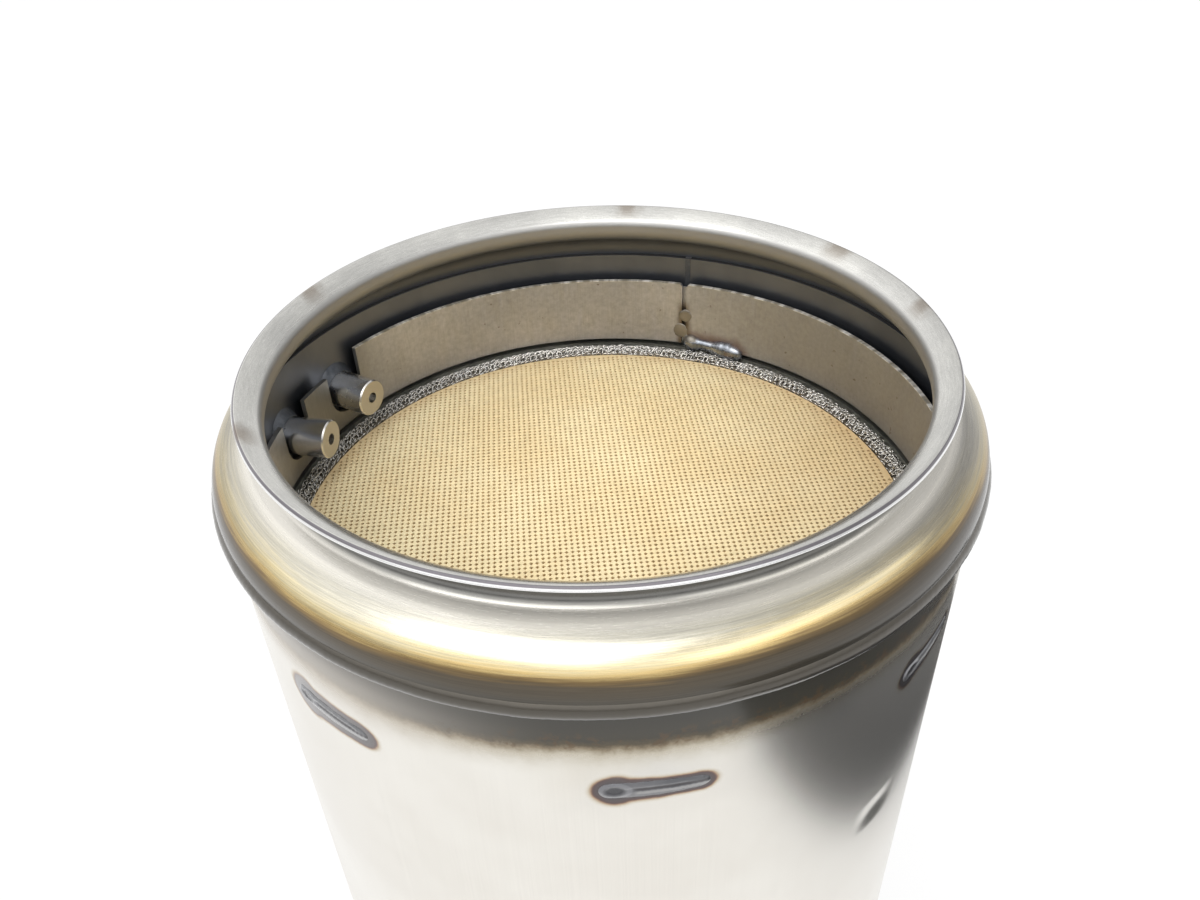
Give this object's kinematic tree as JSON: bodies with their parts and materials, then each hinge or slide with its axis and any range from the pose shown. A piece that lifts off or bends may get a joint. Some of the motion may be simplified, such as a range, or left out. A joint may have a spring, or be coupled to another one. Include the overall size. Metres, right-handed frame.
{
  "type": "diesel particulate filter",
  "caption": "Cylindrical steel exhaust filter canister with flared clamp flanges at both ends, a plugged honeycomb ceramic block inside and port fittings near the inlet.",
  "frame": {"origin": "centre of the outlet rim, on the surface the filter stands on", "axes": "+Z along the filter's axis from the outlet to the inlet; +X to the right and +Y to the back as seen in the picture's view"},
  "size_m": [0.3104, 0.3104, 0.475],
  "materials": {
    "shell_steel": "brushed lengthwise, heat tinted near the welds",
    "flange_steel": "drawn, satin, with straw heat tint",
    "weld_metal": "as welded, blue grey",
    "inner_steel": "dull",
    "strip_steel": "brushed upright",
    "fitting_steel": "turned",
    "wire_mesh": "knitted wire",
    "filter_ceramic": "matte, porous",
    "fibre": "matte fibre"
  },
  "bodies": {
    "root": {"body_tube": "shell_steel", "body_seam_weld": "weld_metal", "inlet_flange": "flange_steel", "outlet_flange": "flange_steel", "inlet_flange_weld": "weld_metal", "outlet_flange_weld": "weld_metal", "filter_can": "inner_steel", "insulation_blanket": "fibre", "inlet_end_ring": "inner_steel", "outlet_end_ring": "inner_steel", "filter_block": "filter_ceramic", "support_mat": "fibre", "inlet_mesh_seal": "wire_mesh", "outlet_mesh_seal": "wire_mesh", "inlet_strip_rear": "strip_steel", "inlet_strip_front": "strip_steel", "outlet_strip_rear": "strip_steel", "outlet_strip_front": "strip_steel", "inlet_tack_welds": "weld_metal", "outlet_tack_welds": "weld_metal", "inlet_stitch_welds": "weld_metal", "outlet_stitch_welds": "weld_metal", "port_fitting_1": "fitting_steel", "port_fitting_2": "fitting_steel", "port_inner_welds": "weld_metal", "port_outer_welds": "weld_metal"}
  },
  "joints": []
}
